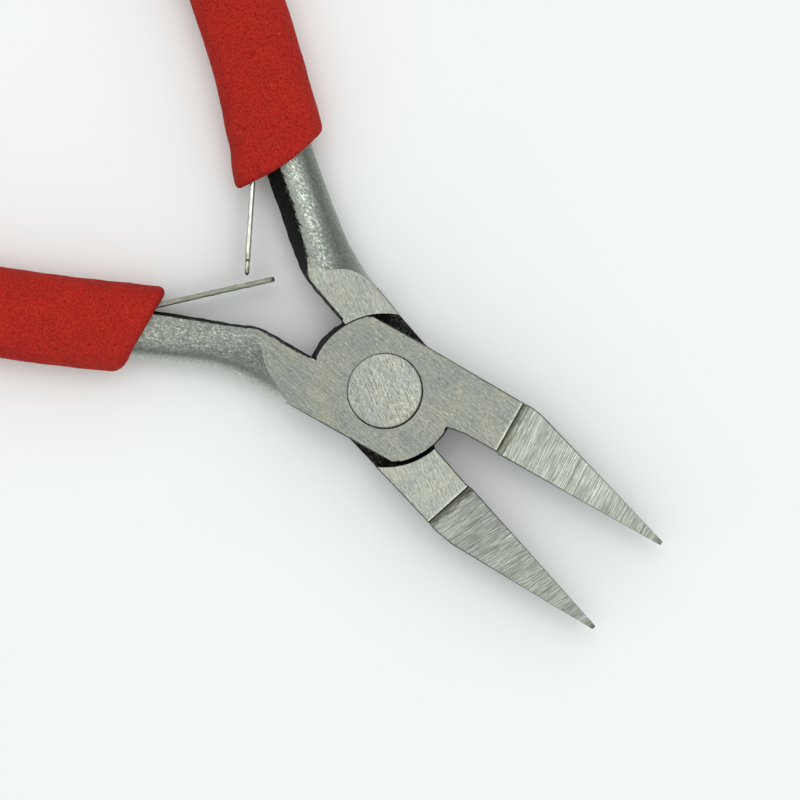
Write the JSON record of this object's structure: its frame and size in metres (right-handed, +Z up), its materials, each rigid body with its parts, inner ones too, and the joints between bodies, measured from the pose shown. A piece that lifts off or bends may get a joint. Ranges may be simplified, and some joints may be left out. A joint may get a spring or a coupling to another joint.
{
  "type": "needle nose pliers",
  "caption": "Small sprung needle nose pliers: lapped levers on a flush rivet, tapered smooth jaws, foam grips and crossing leaf springs.",
  "frame": {"origin": "on the pivot axis, at the centre of the rivet's lower flush face, which lies in the joint's lower face", "axes": "+X points to the jaw tips along the line midway between the jaws, +Z runs up the pivot axis, and the front lever is the one whose disc is on top"},
  "size_m": [0.1156, 0.0812, 0.009],
  "materials": {
    "forged_steel": "ground faces with fine streaks, blasted round shanks, black forging scale on the inner edges",
    "rivet_steel": "ground flush, brighter than the levers",
    "spring_steel": "rolled strip with sheared edges",
    "red_foam": "matt closed-cell foam with fine pores"
  },
  "bodies": {
    "pivot": {"pivot_rivet": "rivet_steel"},
    "front": {"front_lever": "forged_steel", "front_grip": "red_foam", "front_spring_rivet": "rivet_steel"},
    "rear": {"rear_lever": "forged_steel", "rear_grip": "red_foam", "rear_spring_rivet": "rivet_steel"},
    "front_spring": {"front_leaf_spring": "spring_steel"},
    "rear_spring": {"rear_leaf_spring": "spring_steel"}
  },
  "joints": [
    {"name": "squeeze", "type": "hinge", "parent": "pivot", "child": "front", "pos_m": [0, 0, 0], "axis": [0, 0, -1], "range_deg": [0, 18.75], "stiffness_Nm_per_rad": 0.4},
    {"name": "spread", "type": "hinge", "parent": "pivot", "child": "rear", "pos_m": [0, 0, 0], "axis": [0, 0, -1], "range_deg": [0, 50]},
    {"name": "front_spring_flex", "type": "hinge", "parent": "front", "child": "front_spring", "pos_m": [-0.02558, -0.00838, 0.004], "axis": [0, 0, -1], "range_deg": [0, 19], "deforming": ["front_leaf_spring"]},
    {"name": "rear_spring_flex", "type": "hinge", "parent": "rear", "child": "rear_spring", "pos_m": [-0.02718, 0.01097, 0.004], "axis": [0, 0, 1], "range_deg": [0, 19], "deforming": ["rear_leaf_spring"]}
  ],
  "couplings": [
    {"joint": "front_spring_flex", "follows": "squeeze", "ratio": 1},
    {"joint": "rear_spring_flex", "follows": "squeeze", "ratio": 1}
  ]
}
